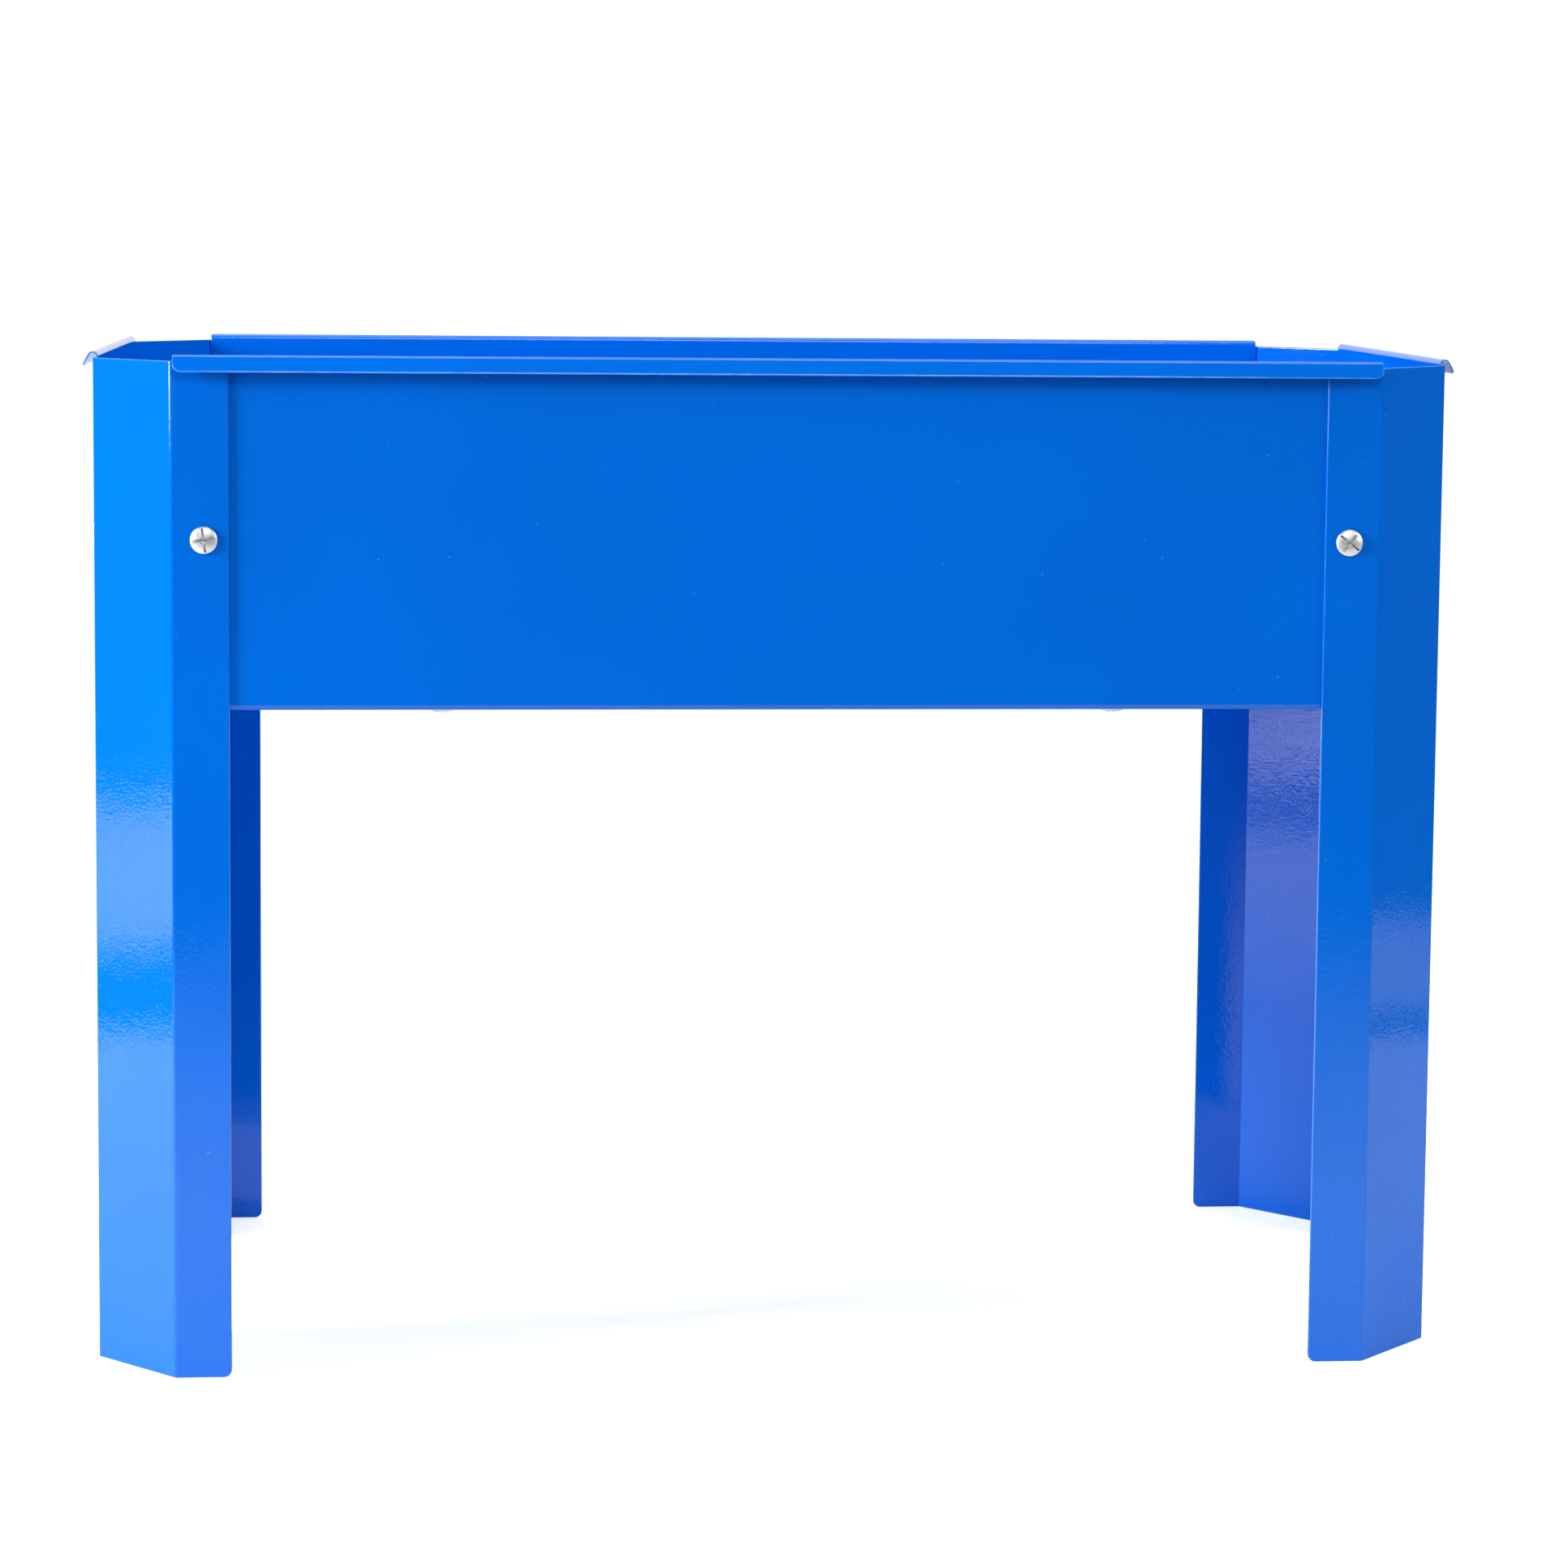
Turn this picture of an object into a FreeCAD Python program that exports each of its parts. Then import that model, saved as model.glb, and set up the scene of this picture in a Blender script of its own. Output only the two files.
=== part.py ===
import FreeCAD, Part

import math
import os
import re

import Sketcher

# Raised planter on legs: a folded sheet-metal trough between four folded corner legs, screwed together.
# Millimetres.  X runs along the trough, Y from its front to its rear, Z up.  The origin is on the ground,
# under the middle of the planter.  Seen from above the planter is a rectangle with its corners cut at 45
# degrees; "face" means a long side and "end" a short one.

SIZES = [
    ("length", 609, "over the end faces of the legs"),
    ("depth", 290, "over the front and rear faces of the legs"),
    ("leg_height", 452, "ground to the top edge of a leg"),
    ("corner_cut", 36.5, "what the 45 degree cut takes off each side of a corner"),
    ("leg_flange", 25, "width of the two flanges of a leg"),
    ("leg_sheet", 1.5, "thickness of a leg"),
    ("leg_bend", 0.9, "inside radius of a leg's two bends"),
    ("leg_corner", 3.5, "radius of a leg's free corners"),
    ("panel_height", 156, "folded bottom edge of a panel to the top of its rim"),
    ("panel_sheet", 0.8, "thickness of a panel"),
    ("panel_gap", 1.0, "from a panel's end edge to the bend line of the leg"),
    ("panel_corner", 4.0, "radius of the free corners of a panel's lip and ledge"),
    ("rim_rise", 2.8, "top of the rim above the top edge of a leg"),
    ("rim_bend", 1.6, "inside radius of the rolled rim"),
    ("rim_turn", 150, "angle the rim is rolled through, in degrees"),
    ("face_lip", 6.8, "straight lip after the rim, on the long panels"),
    ("end_lip", 5.8, "straight lip after the rim, on the end panels"),
    ("ledge", 20, "depth of the inward fold that carries the floor"),
    ("ledge_bend", 1.8, "inside radius of that fold"),
    ("floor_sheet", 0.8, "thickness of the floor plate"),
    ("floor_clearance", 0.5, "from the floor plate to the folds and legs round it"),
    ("drain_hole", 8, "diameter of a drain hole"),
    ("drain_pitch_x", 80, "drain hole spacing along the trough"),
    ("drain_pitch_y", 75, "drain hole spacing across the trough"),
    ("drain_columns", 7, "number of drain holes along the trough"),
    ("screw_inset", 14.2, "from the bend line of a leg to its screw"),
    ("screw_drop", 78, "from the top edge of a leg to its screws"),
    ("floor_screw_spread", 300, "distance between the two floor screws of a long panel"),
    ("floor_screw_inset", 15, "from the outer face of the legs to the floor screws"),
    ("bolt", 6, "thread diameter of every screw"),
    ("bolt_length", 10, "length under the head"),
    ("bolt_tip", 0.8, "chamfer at the tip of the thread"),
    ("bolt_clearance", 0.3, "radial gap round a screw in a sheet"),
    ("nut_clearance", 0.05, "radial gap between a screw and its nut"),
    ("head_width", 12, "diameter of a pan head"),
    ("head_height", 2.6, "height of a pan head"),
    ("head_edge", 0.9, "height of the upright edge of a pan head"),
    ("slot_width", 1.6, "width of the slot right across a head"),
    ("slot_depth", 1.0, "depth of that slot"),
    ("cross_width", 0.9, "width of the narrow arms across the slot"),
    ("cross_span", 10.6, "span of the narrow arms"),
    ("cross_depth", 1.6, "depth of the narrow arms"),
    ("recess_width", 3.4, "diameter of the recess in the middle of a head"),
    ("recess_depth", 2.0, "depth of that recess"),
    ("nut_width", 10, "across the flats of a nut"),
    ("nut_height", 5, "height of a nut"),
]

# Lengths that several pieces share, written in terms of the cells above.
RIM_TOP = "(leg_height + rim_rise)"
PANEL_BOTTOM = "(leg_height + rim_rise - panel_height)"
SCREW_HEIGHT = "(leg_height - screw_drop)"
HOLE_RADIUS = "bolt / 2 + bolt_clearance"
FACE_WIDTH = "(length - 2 * corner_cut)"
END_WIDTH = "(depth - 2 * corner_cut)"
# A panel starts at its gap, or where the leg's inner bend ends if a thick leg or a wide bend reaches further.
PANEL_START = "max(panel_gap; (leg_bend + leg_sheet) * tan(22.5 deg))"

# Each side of the planter: name, distance from the middle, turn about Z, width between bends, lip, floor screws.
SIDES = [
    ("front", "depth / 2", 0, FACE_WIDTH, "face_lip", True),
    ("right_end", "length / 2", 90, END_WIDTH, "end_lip", False),
    ("rear", "depth / 2", 180, FACE_WIDTH, "face_lip", True),
    ("left_end", "length / 2", 270, END_WIDTH, "end_lip", False),
]

# Each corner: name, side of the middle in X and in Y, turn about Z of its leg.
CORNERS = [
    ("front_left", -1, -1, 0),
    ("front_right", 1, -1, 90),
    ("rear_right", 1, 1, 180),
    ("rear_left", -1, 1, 270),
]

# How far each screw stands turned about its own axis when it is tight, in degrees, in the order of CORNERS.
FACE_SCREW_TURNS = [8, 52, 20, 75]
END_SCREW_TURNS = [35, 100, 64, 12]
FLOOR_SCREW_TURNS = [40, 15, 80, 58]

TOLERANCE = 1e-4

document = FreeCAD.newDocument("Planter")
sheet = document.addObject("Spreadsheet::Sheet", "Sizes")
for row, (alias, value, meaning) in enumerate(SIZES, start=1):
    sheet.set(f"A{row}", meaning)
    sheet.set(f"B{row}", str(value))
    sheet.setAlias(f"B{row}", alias)
document.recompute()


def cells(expression):
    """The expression with each size's name turned into a reference to its cell."""
    names = "|".join(alias for alias, _, _ in SIZES)
    return re.sub(rf"\b({names})\b", r"Sizes.\1", expression)


def number(expression):
    return float(sheet.evalExpression(cells(expression)))


def bind(target, path, expression):
    target.setExpression(path, cells(expression))


def new_body(label):
    body = document.addObject("PartDesign::Body", label)
    body.Label = label
    return body


def place(body, x, y, z, rotation):
    """Turn the body by a fixed rotation and bind its position to the sheet."""
    body.Placement = FreeCAD.Placement(FreeCAD.Vector(), rotation)
    for axis, expression in zip("xyz", (x, y, z)):
        bind(body, f"Placement.Base.{axis}", expression)


def about(x, y, z, degrees):
    return FreeCAD.Rotation(FreeCAD.Vector(x, y, z), degrees)


def new_sketch(body, name, plane):
    sketch = body.newObject("Sketcher::SketchObject", name)
    origin_plane = next(item for item in body.Origin.OriginFeatures if item.Role == plane)
    sketch.AttachmentSupport = [(origin_plane, "")]
    sketch.MapMode = "FlatFace"
    return sketch


def constrain(sketch, kind, references, expression):
    """Add a dimension to the sketch and bind it to the sheet."""
    index = sketch.addConstraint(Sketcher.Constraint(kind, *references, number(expression)))
    bind(sketch, f"Constraints[{index}]", expression)


def arc_between(start, end, radius):
    """The short arc from start to end; it turns left for a positive radius, right for a negative one."""
    chord = end - start
    half = chord.Length / 2
    height = math.sqrt(radius * radius - half * half)
    left = FreeCAD.Vector(-chord.y, chord.x, 0).normalize()
    centre = (start + end) / 2 + left * math.copysign(height, radius)
    first, last = (start, end) if radius > 0 else (end, start)
    angles = [math.atan2(point.y - centre.y, point.x - centre.x) for point in (first, last)]
    circle = Part.Circle(centre, FreeCAD.Vector(0, 0, 1), abs(radius))
    return Part.ArcOfCircle(circle, *angles)


def outline(sketch, corners):
    """A closed outline through corners of (x, y), each placed by the sheet.

    A corner of (x, y, radius) starts an arc to the next corner instead of a straight line.
    """
    points = [FreeCAD.Vector(number(corner[0]), number(corner[1]), 0) for corner in corners]
    ends = []
    for index, corner in enumerate(corners):
        start, end = points[index], points[(index + 1) % len(points)]
        if len(corner) == 2:
            geometry = sketch.addGeometry(Part.LineSegment(start, end))
            ends.append((geometry, 1, 2))
            continue
        radius = number(corner[2])
        geometry = sketch.addGeometry(arc_between(start, end, radius))
        ends.append((geometry, 1, 2) if radius > 0 else (geometry, 2, 1))
        constrain(sketch, "Radius", (geometry,), f"abs({corner[2]})")
    for (geometry, first, _), (before, _, last), corner in zip(ends, ends[-1:] + ends[:-1], corners):
        sketch.addConstraint(Sketcher.Constraint("Coincident", before, last, geometry, first))
        constrain(sketch, "DistanceX", (-1, 1, geometry, first), corner[0])
        constrain(sketch, "DistanceY", (-1, 1, geometry, first), corner[1])


def circle(sketch, x, y, radius):
    centre = FreeCAD.Vector(number(x), number(y), 0)
    geometry = sketch.addGeometry(Part.Circle(centre, FreeCAD.Vector(0, 0, 1), number(radius)))
    constrain(sketch, "Radius", (geometry,), radius)
    constrain(sketch, "DistanceX", (-1, 1, geometry, 3), x)
    constrain(sketch, "DistanceY", (-1, 1, geometry, 3), y)


def rectangle(sketch, half_x, half_y):
    outline(sketch, [
        (f"-({half_x})", f"-({half_y})"),
        (half_x, f"-({half_y})"),
        (half_x, half_y),
        (f"-({half_x})", half_y),
    ])


def pad(body, sketch, length, side_type="One side"):
    feature = body.newObject("PartDesign::Pad", "Pad")
    feature.Profile = sketch
    feature.SideType = side_type
    bind(feature, "Length", length)
    document.recompute()
    return feature


def cut(body, sketch, depth=None):
    """Pocket the sketch to a depth against its normal, or right through both ways, and see that it cut."""
    volume = body.Shape.Volume
    feature = body.newObject("PartDesign::Pocket", "Pocket")
    feature.Profile = sketch
    if depth:
        bind(feature, "Length", depth)
    else:
        feature.Type = "ThroughAll"
        feature.SideType = "Symmetric"
    document.recompute()
    if body.Shape.Volume > volume - TOLERANCE:
        raise RuntimeError(f"{body.Label}: {sketch.Label} cut nothing")
    return feature


def fillet(body, base, radius, wanted):
    """Round the edges of the base feature that wanted() picks."""
    names = [f"Edge{i}" for i, edge in enumerate(base.Shape.Edges, start=1) if wanted(edge)]
    feature = body.newObject("PartDesign::Fillet", "Fillet")
    feature.Base = (base, names)
    bind(feature, "Radius", radius)
    document.recompute()
    return feature


def is_long(length):
    """Picks edges of one length, such as the four free corners across a sheet's thickness."""
    wanted = number(length)
    return lambda edge: abs(edge.Length - wanted) < TOLERANCE


def is_upright_at(x, y):
    """Picks the upright edges that stand on (x, y) or on (y, x)."""
    spots = {(round(number(a), 3), round(number(b), 3)) for a, b in ((x, y), (y, x))}

    def wanted(edge):
        upright = abs(edge.tangentAt(edge.FirstParameter).z) > 1 - TOLERANCE
        spot = edge.CenterOfMass
        return upright and (round(spot.x, 3), round(spot.y, 3)) in spots

    return wanted


def leg(name, turn, side_x, side_y):
    """A flange, a 45 degree face and a second flange, folded from one sheet.

    The body's own origin is the corner that the 45 degree cut takes off, with the flanges along +X and +Y.
    """
    body = new_body(f"{name}_leg")
    flange_end = "corner_cut + leg_flange"
    inner_fold = "corner_cut + leg_sheet * tan(22.5 deg)"
    profile = new_sketch(body, "Profile", "XY_Plane")
    outline(profile, [
        ("corner_cut", "0"),
        (flange_end, "0"),
        (flange_end, "leg_sheet"),
        (inner_fold, "leg_sheet"),
        ("leg_sheet", inner_fold),
        ("leg_sheet", flange_end),
        ("0", flange_end),
        ("0", "corner_cut"),
    ])
    blank = pad(body, profile, "leg_height")
    rounded = fillet(body, blank, "leg_corner", is_long("leg_sheet"))
    outside = fillet(body, rounded, "leg_bend + leg_sheet", is_upright_at("corner_cut", "0"))
    fillet(body, outside, "leg_bend", is_upright_at(inner_fold, "leg_sheet"))
    for plane in ("XZ_Plane", "YZ_Plane"):
        hole = new_sketch(body, "ScrewHole", plane)
        circle(hole, "corner_cut + screw_inset", SCREW_HEIGHT, HOLE_RADIUS)
        cut(body, hole)
    place(body, f"{side_x} * length / 2", f"{side_y} * depth / 2", "0", about(0, 0, 1, turn))
    return body


def panel(name, distance, turn, width, lip, has_floor_screws):
    """A trough side: inward ledge, wall, and a rim rolled outward over the legs to a straight lip.

    The body's own Y = 0 is the outer face of the legs, with the trough towards +Y.
    """
    body = new_body(f"{name}_panel")
    outer = "leg_sheet"
    inner = "leg_sheet + panel_sheet"
    ledge_radius = "(ledge_bend + panel_sheet)"
    rim_radius = "(rim_bend + panel_sheet)"
    rim_centre = f"({RIM_TOP} - {rim_radius})"
    across, up = "cos(rim_turn * 1 deg)", "sin(rim_turn * 1 deg)"

    def on_rim(radius, straight):
        """A point on the rim's radius at the end of the roll, then a straight way down the lip."""
        return (f"leg_sheet - rim_bend + {radius} * {across} - {straight} * {up}",
                f"{rim_centre} + {radius} * {up} + {straight} * {across}")

    profile = new_sketch(body, "Profile", "YZ_Plane")
    outline(profile, [
        (f"{outer} + {ledge_radius}", PANEL_BOTTOM),
        (f"{outer} + ledge", PANEL_BOTTOM),
        (f"{outer} + ledge", f"{PANEL_BOTTOM} + panel_sheet"),
        (f"{outer} + {ledge_radius}", f"{PANEL_BOTTOM} + panel_sheet", "-ledge_bend"),
        (inner, f"{PANEL_BOTTOM} + {ledge_radius}"),
        (inner, rim_centre, rim_radius),
        on_rim(rim_radius, "0"),
        on_rim(rim_radius, lip),
        on_rim("rim_bend", lip),
        (*on_rim("rim_bend", "0"), "-rim_bend"),
        (outer, rim_centre),
        (outer, f"{PANEL_BOTTOM} + {ledge_radius}", ledge_radius),
    ])
    blank = pad(body, profile, f"{width} - 2 * {PANEL_START}", "Symmetric")
    fillet(body, blank, "panel_corner", is_long("panel_sheet"))
    for side in (-1, 1):
        hole = new_sketch(body, "ScrewHole", "XZ_Plane")
        circle(hole, f"{side} * ({width} / 2 - screw_inset)", SCREW_HEIGHT, HOLE_RADIUS)
        cut(body, hole)
        if has_floor_screws:
            hole = new_sketch(body, "FloorScrewHole", "XY_Plane")
            circle(hole, f"{side} * floor_screw_spread / 2", "floor_screw_inset", HOLE_RADIUS)
            cut(body, hole)
    sine, cosine = round(math.sin(math.radians(turn))), round(math.cos(math.radians(turn)))
    place(body, f"{sine} * {distance}", f"{-cosine} * {distance}", "0", about(0, 0, 1, turn))
    return body


def floor_plate():
    """The trough's bottom, an octagon that lies on the ledges, with rows of drain holes."""
    body = new_body("floor_plate")
    edge = "(leg_sheet + panel_sheet + ledge_bend + floor_clearance)"
    half_x, half_y = f"(length / 2 - {edge})", f"(depth / 2 - {edge})"
    cut_sum = "(length / 2 + depth / 2 - corner_cut - (leg_sheet + floor_clearance) * sqrt(2))"
    quarter = [(half_x, f"({cut_sum} - {half_x})"), (f"({cut_sum} - {half_y})", half_y)]
    profile = new_sketch(body, "Profile", "XY_Plane")
    outline(profile, [
        *quarter,
        *[(f"-{x}", y) for x, y in reversed(quarter)],
        *[(f"-{x}", f"-{y}") for x, y in quarter],
        *[(x, f"-{y}") for x, y in reversed(quarter)],
    ])
    pad(body, profile, "floor_sheet")
    holes = new_sketch(body, "ScrewHoles", "XY_Plane")
    for side_x in (-1, 1):
        for side_y in (-1, 1):
            circle(holes, f"{side_x} * floor_screw_spread / 2",
                   f"{side_y} * (depth / 2 - floor_screw_inset)", HOLE_RADIUS)
    cut(body, holes)
    column = new_sketch(body, "DrainColumn", "XY_Plane")
    for hole_row in (-1, 0, 1):
        circle(column, "-drain_pitch_x * (drain_columns - 1) / 2", f"{hole_row} * drain_pitch_y", "drain_hole / 2")
    drains = cut(body, column)
    pattern = body.newObject("PartDesign::LinearPattern", "DrainColumns")
    pattern.Originals = [drains]
    pattern.Direction = (column, ["H_Axis"])
    bind(pattern, "Length", "drain_pitch_x * (drain_columns - 1)")
    bind(pattern, "Occurrences", "drain_columns")
    body.Tip = pattern
    place(body, "0", "0", f"{PANEL_BOTTOM} + panel_sheet", FreeCAD.Rotation())
    return body


def sketch_on_head(body, name):
    sketch = new_sketch(body, name, "XY_Plane")
    bind(sketch, "AttachmentOffset.Base.z", "head_height")
    return sketch


def screw(name, x, y, z, rotation):
    """A pan head screw with a slot, narrow arms across it and a round recess; its own origin is under the head, thread along -Z."""
    body = new_body(name)
    rise = "(head_height - head_edge)"
    dome = f"((head_width * head_width / 4 + {rise} * {rise}) / (2 * {rise}))"
    profile = new_sketch(body, "Profile", "XZ_Plane")
    outline(profile, [
        ("0", "-bolt_length"),
        ("bolt / 2 - bolt_tip", "-bolt_length"),
        ("bolt / 2", "bolt_tip - bolt_length"),
        ("bolt / 2", "0"),
        ("head_width / 2", "0"),
        ("head_width / 2", "head_edge", dome),
        ("0", "head_height"),
    ])
    turned = body.newObject("PartDesign::Revolution", "Turned")
    turned.Profile = profile
    turned.ReferenceAxis = (profile, ["V_Axis"])
    turned.Angle = 360
    document.recompute()
    slot = sketch_on_head(body, "Slot")
    rectangle(slot, "head_width", "slot_width / 2")
    cut(body, slot, "slot_depth")
    cross = sketch_on_head(body, "Cross")
    rectangle(cross, "cross_width / 2", "cross_span / 2")
    cut(body, cross, "cross_depth")
    recess = sketch_on_head(body, "Recess")
    circle(recess, "0", "0", "recess_width / 2")
    cut(body, recess, "recess_depth")
    place(body, x, y, z, rotation)
    return body


def nut(name, x, y, z, rotation):
    """A hexagon nut; its own origin is in the middle of the face that clamps, the nut along -Z."""
    body = new_body(name)
    profile = new_sketch(body, "Profile", "XY_Plane")
    outline(profile, [
        (f"nut_width / sqrt(3) * cos({angle} deg)", f"nut_width / sqrt(3) * sin({angle} deg)")
        for angle in range(0, 360, 60)
    ])
    circle(profile, "0", "0", "bolt / 2 + nut_clearance")
    hexagon = pad(body, profile, "nut_height")
    hexagon.Reversed = True
    place(body, x, y, z, rotation)
    return body


def fastener(name, spot, outward, stack, turn):
    """A screw with its head on spot and its nut behind the stack of sheets.

    Outward is the way the head points: an axis and its sign.
    """
    axis, sign = outward
    lie = {
        "x": about(0, 1, 0, 90 * sign),
        "y": about(1, 0, 0, -90 * sign),
        "z": about(1, 0, 0, 90 - 90 * sign),
    }[axis]
    rotation = lie.multiply(about(0, 0, 1, turn))
    behind = dict(spot)
    behind[axis] = f"{spot[axis]} - {sign} * ({stack})"
    return [
        screw(f"{name}_screw", *spot.values(), rotation),
        nut(f"{name}_nut", *behind.values(), rotation),
    ]


def corner_fasteners(index, name, side_x, side_y):
    """The two screws of a leg and the floor screw nearest to it, each with its nut."""
    face_spot = {"x": f"{side_x} * ({FACE_WIDTH} / 2 - screw_inset)", "y": f"{side_y} * depth / 2", "z": SCREW_HEIGHT}
    end_spot = {"x": f"{side_x} * length / 2", "y": f"{side_y} * ({END_WIDTH} / 2 - screw_inset)", "z": SCREW_HEIGHT}
    floor_spot = {
        "x": f"{side_x} * floor_screw_spread / 2",
        "y": f"{side_y} * (depth / 2 - floor_screw_inset)",
        "z": PANEL_BOTTOM,
    }
    wall = "leg_sheet + panel_sheet"
    bottom = "panel_sheet + floor_sheet"
    return [
        *fastener(f"{name}_face", face_spot, ("y", side_y), wall, FACE_SCREW_TURNS[index]),
        *fastener(f"{name}_end", end_spot, ("x", side_x), wall, END_SCREW_TURNS[index]),
        *fastener(f"{name}_floor", floor_spot, ("z", -1), bottom, FLOOR_SCREW_TURNS[index]),
    ]


pieces = [floor_plate()]
for side_name, distance, turn, width, lip, has_floor_screws in SIDES:
    pieces.append(panel(side_name, distance, turn, width, lip, has_floor_screws))
for index, (corner_name, side_x, side_y, turn) in enumerate(CORNERS):
    pieces.append(leg(corner_name, turn, side_x, side_y))
    pieces.extend(corner_fasteners(index, corner_name, side_x, side_y))
document.recompute()

for item in document.Objects:
    if {"Invalid", "Error"} & set(item.State):
        raise RuntimeError(f"{item.Label} failed: {item.State}")
for piece in pieces:
    if piece.Shape.isNull() or not piece.Shape.isValid() or len(piece.Shape.Solids) != 1:
        raise RuntimeError(f"{piece.Label} is not one valid solid")

os.makedirs("parts", exist_ok=True)
for piece in pieces:
    piece.Shape.exportStep(f"parts/{piece.Label}.step")
print(f"{len(pieces)} pieces written")
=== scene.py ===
# %% [markdown]
# # Raised planter on legs
# A long narrow trough of blue powder coated sheet steel stands on four legs.  Each leg is one folded sheet
# that wraps a cut-off corner of the trough, and zinc plated screws hold everything together.
#
# The CAD model fixes every size and place.  This lesson makes its looks: real folds with rounded sheet
# edges, threaded screws, a punched floor, the two finishes, and a small studio to see them in.

import math

import bmesh
import bpy
from mathutils import Matrix, Vector


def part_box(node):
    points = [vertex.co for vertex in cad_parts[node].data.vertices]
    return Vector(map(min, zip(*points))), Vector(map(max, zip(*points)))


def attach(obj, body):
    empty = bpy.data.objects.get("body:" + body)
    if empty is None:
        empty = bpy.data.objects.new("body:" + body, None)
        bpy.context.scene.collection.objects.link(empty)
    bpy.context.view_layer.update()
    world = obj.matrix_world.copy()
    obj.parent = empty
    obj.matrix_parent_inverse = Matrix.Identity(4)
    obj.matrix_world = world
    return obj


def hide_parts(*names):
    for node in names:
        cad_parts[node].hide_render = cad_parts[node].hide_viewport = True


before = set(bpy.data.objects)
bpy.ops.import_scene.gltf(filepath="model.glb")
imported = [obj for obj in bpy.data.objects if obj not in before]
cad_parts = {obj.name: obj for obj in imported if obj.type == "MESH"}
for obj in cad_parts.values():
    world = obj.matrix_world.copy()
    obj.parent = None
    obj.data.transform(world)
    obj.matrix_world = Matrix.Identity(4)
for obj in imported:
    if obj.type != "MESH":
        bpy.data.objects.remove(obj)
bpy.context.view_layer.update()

# %% [markdown]
# ## Sizes
# Blender works in metres and a sheet metal drawing in millimetres, so one constant turns one into the other.
# Everything that can be read off the CAD model is read off it.  Only what a bounding box can't tell, such as
# sheet thickness and bend radius, is written here.

# %% Sizes of the sheet metal
MM = 0.001

LEG_SHEET = 1.5 * MM
LEG_BEND_OUTSIDE = 2.4 * MM
LEG_CORNER = 3.5 * MM
PANEL_SHEET = 0.8 * MM
LEDGE_BEND_OUTSIDE = 2.6 * MM
RIM_BEND_INSIDE = 1.6 * MM
RIM_TURN = 150
PANEL_CORNER = 4.0 * MM
PANEL_GAP = 1.0 * MM
LEDGE_DEPTH = 20 * MM
LIP = {"front": 6.8 * MM, "rear": 6.8 * MM, "left_end": 5.8 * MM, "right_end": 5.8 * MM}

leg_low, leg_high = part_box("front_left_leg")
panel_low, panel_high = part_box("front_panel")
leg_height = leg_high.z - leg_low.z
leg_reach = leg_high.x - leg_low.x
face_width = panel_high.x - panel_low.x
corner_cut = -leg_low.x - face_width / 2 - PANEL_GAP
print(f"leg {leg_height / MM:.1f} mm tall, corner cut {corner_cut / MM:.1f} mm")
print(f"long panel {face_width / MM:.1f} mm wide")

# %% [markdown]
# ## How a folded sheet is drawn
# A press brake starts with a flat blank and folds it along straight lines.  Seen end-on, the blank becomes a
# line of flats and bends.  The class below walks along that line and answers one question: where is the sheet
# at a given distance along the blank?  It also knows where the mesh needs a column of vertices: at both ends
# of every bend, a few times within it, and close beside it so that smooth shading doesn't smear the bend's
# curve over the flat.

# %% The line of a folded sheet
SUPPORT = 0.4 * MM
LONGEST_STEP = 24 * MM
DEGREES_PER_STEP = 7.5


class FoldedLine:
    """Flats and bends, walked from a start point.  A bend of positive degrees turns left."""

    def __init__(self, start, heading, steps):
        self.pieces = []
        self.length = 0
        position, angle = Vector(start), math.radians(heading)
        for size, *radius in steps:
            if radius:
                turn = math.radians(size)
                span = abs(turn) * radius[0]
                piece = (self.length, span, position, angle, math.copysign(1 / radius[0], turn))
            else:
                turn, span = 0, size
                piece = (self.length, span, position, angle, 0)
            self.pieces.append(piece)
            position, _ = self.walk(piece, span)
            angle += turn
            self.length += span

    @staticmethod
    def walk(piece, distance):
        """The point and the direction to the right of travel, some way into one flat or bend."""
        _, _, start, angle, curvature = piece
        if curvature == 0:
            ahead = Vector((math.cos(angle), math.sin(angle)))
            return start + ahead * distance, Vector((ahead.y, -ahead.x))
        now = angle + distance * curvature
        centre = start + Vector((-math.sin(angle), math.cos(angle))) / curvature
        left = Vector((-math.sin(now), math.cos(now)))
        return centre - left / curvature, -left

    def at(self, distance):
        piece = next((p for p in self.pieces if distance <= p[0] + p[1]), self.pieces[-1])
        return self.walk(piece, distance - piece[0])

    def columns(self):
        """Distances along the blank where a column of vertices belongs, without the two ends."""
        found = []
        for start, span, _, _, curvature in self.pieces:
            if curvature:
                count = max(3, math.ceil(math.degrees(span * abs(curvature)) / DEGREES_PER_STEP))
                found += [start + span * i / count for i in range(count + 1)]
            else:
                inner = span - 2 * SUPPORT
                count = max(1, math.ceil(inner / LONGEST_STEP))
                found += [start + SUPPORT + inner * i / count for i in range(count + 1)]
        return sorted(set(round(value, 7) for value in found))


# %% [markdown]
# ## From blank to mesh
# The blank is a rectangle with rounded corners.  Its outer and inner face are grids of quads.  Between them
# run narrow loops that round the sheet's cut edge, because paint can't hold a knife edge: it pulls back and
# leaves a small radius that catches the light.  The grid's columns crowd together in the rounded corners and
# follow them, so no triangles or odd shapes are needed.  The loops carry a mark that pales the paint colour
# there, partly for the thinner paint and partly as a painted highlight.  Its weight is a number of its own,
# larger on the thin panels than on the legs.
#
# A Solidify and a Bevel modifier could do this too, but they would fight over the short bends.  Writing the
# loops directly gives every vertex a known place on the real sheet.

# %% Put an object in the scene
def in_scene(name, data):
    made = bpy.data.objects.new(name, data)
    bpy.context.scene.collection.objects.link(made)
    return made


def mesh_object(name, bm):
    """An object of the finished bmesh, which is freed."""
    mesh = bpy.data.meshes.new(name)
    bm.to_mesh(mesh)
    bm.free()
    return in_scene(name, mesh)


# %% Build a folded sheet
CORNER_STEPS = 6
ROWS = 12


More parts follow.
